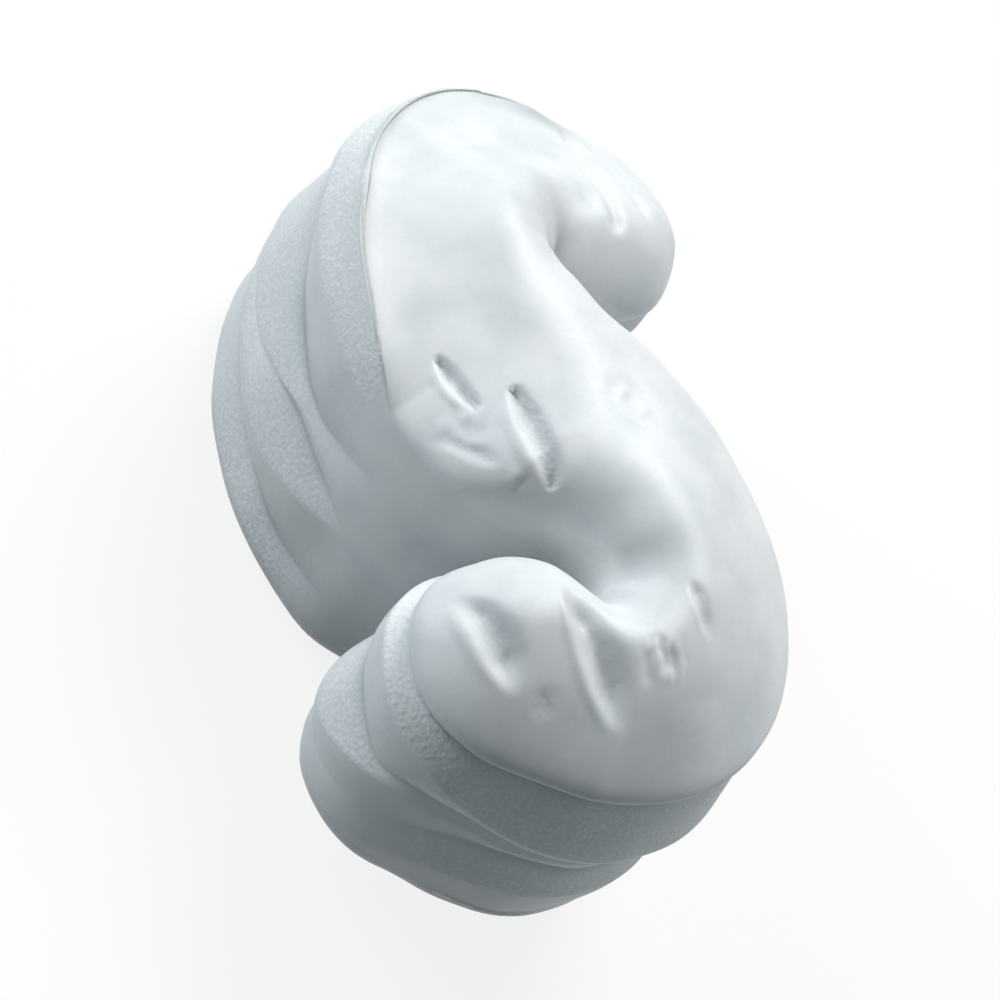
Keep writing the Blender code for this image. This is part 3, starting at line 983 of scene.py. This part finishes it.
class Socket:
    """An output of a material's node, on which sums are written as plain expressions."""

    def __init__(self, nodes, output):
        self.nodes = nodes
        self.output = output

    def math(self, operation, first, second):
        return self.nodes.add("ShaderNodeMath", {"operation": operation}, {0: first, 1: second})

    def __add__(self, other):
        return self.math("ADD", self, other)

    __radd__ = __add__

    def __sub__(self, other):
        return self.math("SUBTRACT", self, other)

    def __rsub__(self, other):
        return self.math("SUBTRACT", other, self)

    def __mul__(self, other):
        return self.math("MULTIPLY", self, other)

    __rmul__ = __mul__

    def clamped(self):
        """Never below 0 nor above 1."""
        return self.math("MAXIMUM", self.math("MINIMUM", self, 1.0), 0.0)

    def ramp(self, low, high):
        """0 below low, 1 above high."""
        return ((self - low) * (1.0 / (high - low))).clamped()


class Nodes:
    """A material's node tree, to which any node is added by its type, settings and sockets."""

    def __init__(self, tree):
        self.tree = tree
        tree.nodes.clear()

    def add(self, kind, settings=None, inputs=None, output=0):
        node = self.tree.nodes.new(kind)
        for name, value in (settings or {}).items():
            setattr(node, name, value)
        for name, value in (inputs or {}).items():
            if isinstance(value, Socket):
                self.tree.links.new(value.output, node.inputs[name])
            else:
                node.inputs[name].default_value = value
        return Socket(self, node.outputs[output]) if node.outputs else None

    def mixed(self, factor, low, high):
        """A colour between two colours."""
        inputs = {"Factor": factor, MIX_LOW: low, MIX_HIGH: high}
        return self.add("ShaderNodeMix", {"data_type": "RGBA"}, inputs, output=MIX_RESULT)

    def attribute(self, name):
        """One of the masks that the mesh carries."""
        return self.add("ShaderNodeAttribute", {"attribute_name": name}, output="Fac")

    def noise(self, scale):
        """Soft noise that lies still on the object."""
        place = self.add("ShaderNodeTexCoord", output="Object")
        inputs = {"Vector": place, "Scale": scale, "Detail": NOISE_DETAIL}
        return self.add("ShaderNodeTexNoise", None, inputs)


def opaque(colour):
    return (*colour, 1.0)


def foam_material(finish):
    """Satin foam skin that shows its cells and painted glints on the folds, with painted shade
    darkening it into the creases.
    """
    material = bpy.data.materials.new("satin_foam")
    material.use_nodes = True
    nodes = Nodes(material.node_tree)
    shown = nodes.attribute("facet").ramp(*FACET_RAMP)
    crease = nodes.attribute("crease")
    place = nodes.add("ShaderNodeTexCoord", output="Object")
    cell_inputs = {"Vector": place, "Scale": 1.0 / finish.cell_size}
    cells = nodes.add("ShaderNodeTexVoronoi", None, cell_inputs)
    grains = nodes.noise(GRAINS_PER_CELL / finish.cell_size)
    clouds = nodes.noise(CLOUD_SCALE).ramp(*CLOUD_RAMP)
    mottle = (grains * GRAIN_IN_MOTTLE + cells * CELL_IN_MOTTLE).ramp(*MOTTLE_RAMP)
    cloudy = clouds * (CLOUD_COLOUR - shown * CLOUD_COLOUR_LOST)
    worn = (mottle * MOTTLE_COLOUR + cloudy).clamped()
    # Painted glints: the facets are painted lighter, most where the grains are bright.
    painted_glints = ((grains.ramp(*GLINT_RAMP) * GRAIN_GLINT + FACET_GLINT) * shown).clamped()
    # Painted shade: darker in the creases, on the pits' floors and at the top of the upper hook.
    painted_shade = (crease * CREASE_SHADE_SHARE).clamped()
    colour = nodes.mixed(worn, opaque(finish.foam_colour), opaque(finish.cell_colour))
    colour = nodes.mixed(painted_glints, colour, opaque(finish.painted_glint_colour))
    colour = nodes.mixed(painted_shade, colour, opaque(finish.crease_shade_colour))
    roughness = shown * FACET_ROUGHNESS + mottle * MOTTLE_ROUGHNESS + finish.roughness
    cell_relief = cells * (shown * CELL_RELIEF_FACET + CELL_RELIEF_SKIN)
    grain_relief = grains * (shown * GRAIN_RELIEF_FACET + GRAIN_RELIEF_SKIN)
    bump_inputs = {
        "Strength": 1.0,
        "Distance": finish.cell_relief,
        "Height": cell_relief + grain_relief,
    }
    shader_inputs = {
        "Base Color": colour,
        "Roughness": roughness,
        "Normal": nodes.add("ShaderNodeBump", None, bump_inputs),
        "IOR": FOAM_IOR,
        "Coat Weight": COAT,
        "Coat Roughness": COAT_ROUGHNESS,
        "Subsurface Weight": GLOW,
        "Subsurface Radius": (1.0, 1.0, 1.0),
        "Subsurface Scale": GLOW_DEPTH,
    }
    shader = nodes.add("ShaderNodeBsdfPrincipled", None, shader_inputs)
    nodes.add("ShaderNodeOutputMaterial", None, {"Surface": shader})
    return material


def floor_material(studio):
    """A pale floor that the camera sees as white with the object's shadow kept faintly."""
    material = bpy.data.materials.new("studio_floor")
    material.use_nodes = True
    nodes = Nodes(material.node_tree)
    matt = nodes.add("ShaderNodeBsdfDiffuse", None, {"Color": opaque(studio.floor_colour)})
    paper = nodes.add("ShaderNodeBsdfDiffuse", None, {"Color": opaque(PAPER)})
    white = nodes.add("ShaderNodeEmission", None, {"Color": opaque(WHITE), "Strength": 1.0})
    seen = nodes.add("ShaderNodeMixShader", None, {0: studio.shadow_share, 1: white, 2: paper})
    camera_ray = nodes.add("ShaderNodeLightPath", output="Is Camera Ray")
    glossy_ray = nodes.add("ShaderNodeLightPath", output="Is Glossy Ray")
    clear_ray = nodes.add("ShaderNodeLightPath", output="Is Transmission Ray")
    direct = (camera_ray + glossy_ray + clear_ray).clamped()
    surface = nodes.add("ShaderNodeMixShader", None, {0: direct, 1: matt, 2: seen})
    nodes.add("ShaderNodeOutputMaterial", None, {"Surface": surface})
    return material


class PEANUT_OT_foam_skin(bpy.types.Operator):
    """Models the peanut's folded foam skin over its plain solid"""

    bl_idname = "peanut.foam_skin"
    bl_label = "Foam skin"

    def execute(self, context):
        scene = context.scene
        stroke = Stroke(scene.peanut_stroke)
        points, facet, crease = skin_grid(stroke, scene.peanut_detail)
        data = skin_mesh(points, {"facet": facet, "crease": crease})
        press_marks(data, scene.peanut_detail)
        data.materials.append(foam_material(scene.peanut_finish))
        skin = bpy.data.objects.new("foam_skin", data)
        context.collection.objects.link(skin)
        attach(skin, "root")
        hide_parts(NODE)
        return {"FINISHED"}


class PEANUT_OT_studio(bpy.types.Operator):
    """Adds the plain floor, the lamps, the room light and the camera"""

    bl_idname = "peanut.studio"
    bl_label = "Studio"

    def execute(self, context):
        studio = context.scene.peanut_studio
        self.add_floor(context, studio)
        tint = studio.shade_tint
        self.add_lamp(context, "key_lamp", KEY_AT, studio.key_power, WHITE)
        self.add_lamp(context, "left_lamp", LEFT_AT, studio.left_power, tint)
        self.add_lamp(context, "right_lamp", RIGHT_AT, studio.right_power, tint)
        self.add_world(context, studio)
        self.add_camera(context, studio)
        context.scene.view_settings.view_transform = "Standard"
        return {"FINISHED"}

    def add_floor(self, context, studio):
        mesh = bmesh.new()
        bmesh.ops.create_grid(mesh, x_segments=1, y_segments=1, size=FLOOR_HALF)
        bmesh.ops.translate(mesh, verts=mesh.verts, vec=(0.0, 0.0, -FLOOR_SINK))
        data = bpy.data.meshes.new("floor")
        mesh.to_mesh(data)
        mesh.free()
        data.materials.append(floor_material(studio))
        floor = bpy.data.objects.new("floor", data)
        context.collection.objects.link(floor)

    def add_lamp(self, context, name, stand, power, colour):
        """A square soft lamp that faces the object from where it stands."""
        lamp = bpy.data.lights.new(name, "AREA")
        lamp.size = LAMP_SIZE
        lamp.energy = power
        lamp.color = colour
        holder = bpy.data.objects.new(name, lamp)
        tilt, heading = stand
        flat = np.sin(tilt)
        toward = Vector((flat * np.cos(heading), flat * np.sin(heading), np.cos(tilt)))
        place = toward * LAMP_DISTANCE
        holder.location = place
        holder.rotation_euler = place.to_track_quat("Z", "Y").to_euler()
        context.collection.objects.link(holder)

    def add_world(self, context, studio):
        world = bpy.data.worlds.new("room")
        world.use_nodes = True
        nodes = Nodes(world.node_tree)
        camera_ray = nodes.add("ShaderNodeLightPath", output="Is Camera Ray")
        strength = camera_ray * (1.0 - studio.sky) + studio.sky
        colour = nodes.mixed(camera_ray, opaque(studio.shade_tint), opaque(WHITE))
        light = nodes.add("ShaderNodeBackground", None, {"Color": colour, "Strength": strength})
        nodes.add("ShaderNodeOutputWorld", None, {"Surface": light})
        context.scene.world = world

    def add_camera(self, context, studio):
        """A long lens, leaning over from straight overhead, in line with the photograph."""
        data = bpy.data.cameras.new("camera")
        data.lens = studio.lens
        data.sensor_width = SENSOR_WIDTH
        data.clip_end = CLIP_END
        camera = bpy.data.objects.new("camera", data)
        lean = Vector((np.cos(studio.lean_heading), np.sin(studio.lean_heading), 0.0))
        turn = Matrix.Rotation(studio.tilt, 4, Vector((0.0, 0.0, 1.0)).cross(lean))
        front = Vector((0.0, 0.0, context.scene.peanut_stroke.depth))
        view = turn @ Vector((studio.view_right, studio.view_up, studio.distance))
        camera.matrix_world = Matrix.Translation(front + view) @ turn
        context.collection.objects.link(camera)
        context.scene.camera = camera


class PEANUT_PT_panel(bpy.types.Panel):
    """Lists the pieces and their settings"""

    bl_idname = "PEANUT_PT_panel"
    bl_label = "Packing Peanut"
    bl_space_type = "VIEW_3D"
    bl_region_type = "UI"
    bl_category = "Packing Peanut"

    def draw(self, context):
        layout = self.layout
        layout.operator(PEANUT_OT_foam_skin.bl_idname)
        layout.operator(PEANUT_OT_studio.bl_idname)
        for name in GROUPS:
            settings = getattr(context.scene, name)
            box = layout.box()
            for prop in settings.bl_rna.properties.keys():
                if prop not in ("rna_type", "name"):
                    box.prop(settings, prop)


GROUPS = {
    "peanut_stroke": StrokeSizes,
    "peanut_detail": SkinDetail,
    "peanut_finish": FoamFinish,
    "peanut_studio": StudioSettings,
}
CLASSES = (*GROUPS.values(), PEANUT_OT_foam_skin, PEANUT_OT_studio, PEANUT_PT_panel)


def register():
    for cls in CLASSES:
        bpy.utils.register_class(cls)
    for name, group in GROUPS.items():
        setattr(bpy.types.Scene, name, PointerProperty(type=group))


def unregister():
    for name in GROUPS:
        delattr(bpy.types.Scene, name)
    for cls in reversed(CLASSES):
        bpy.utils.unregister_class(cls)


def main():
    register()
    bpy.ops.peanut.foam_skin()
    bpy.ops.peanut.studio()


if __name__ == "__main__":
    main()
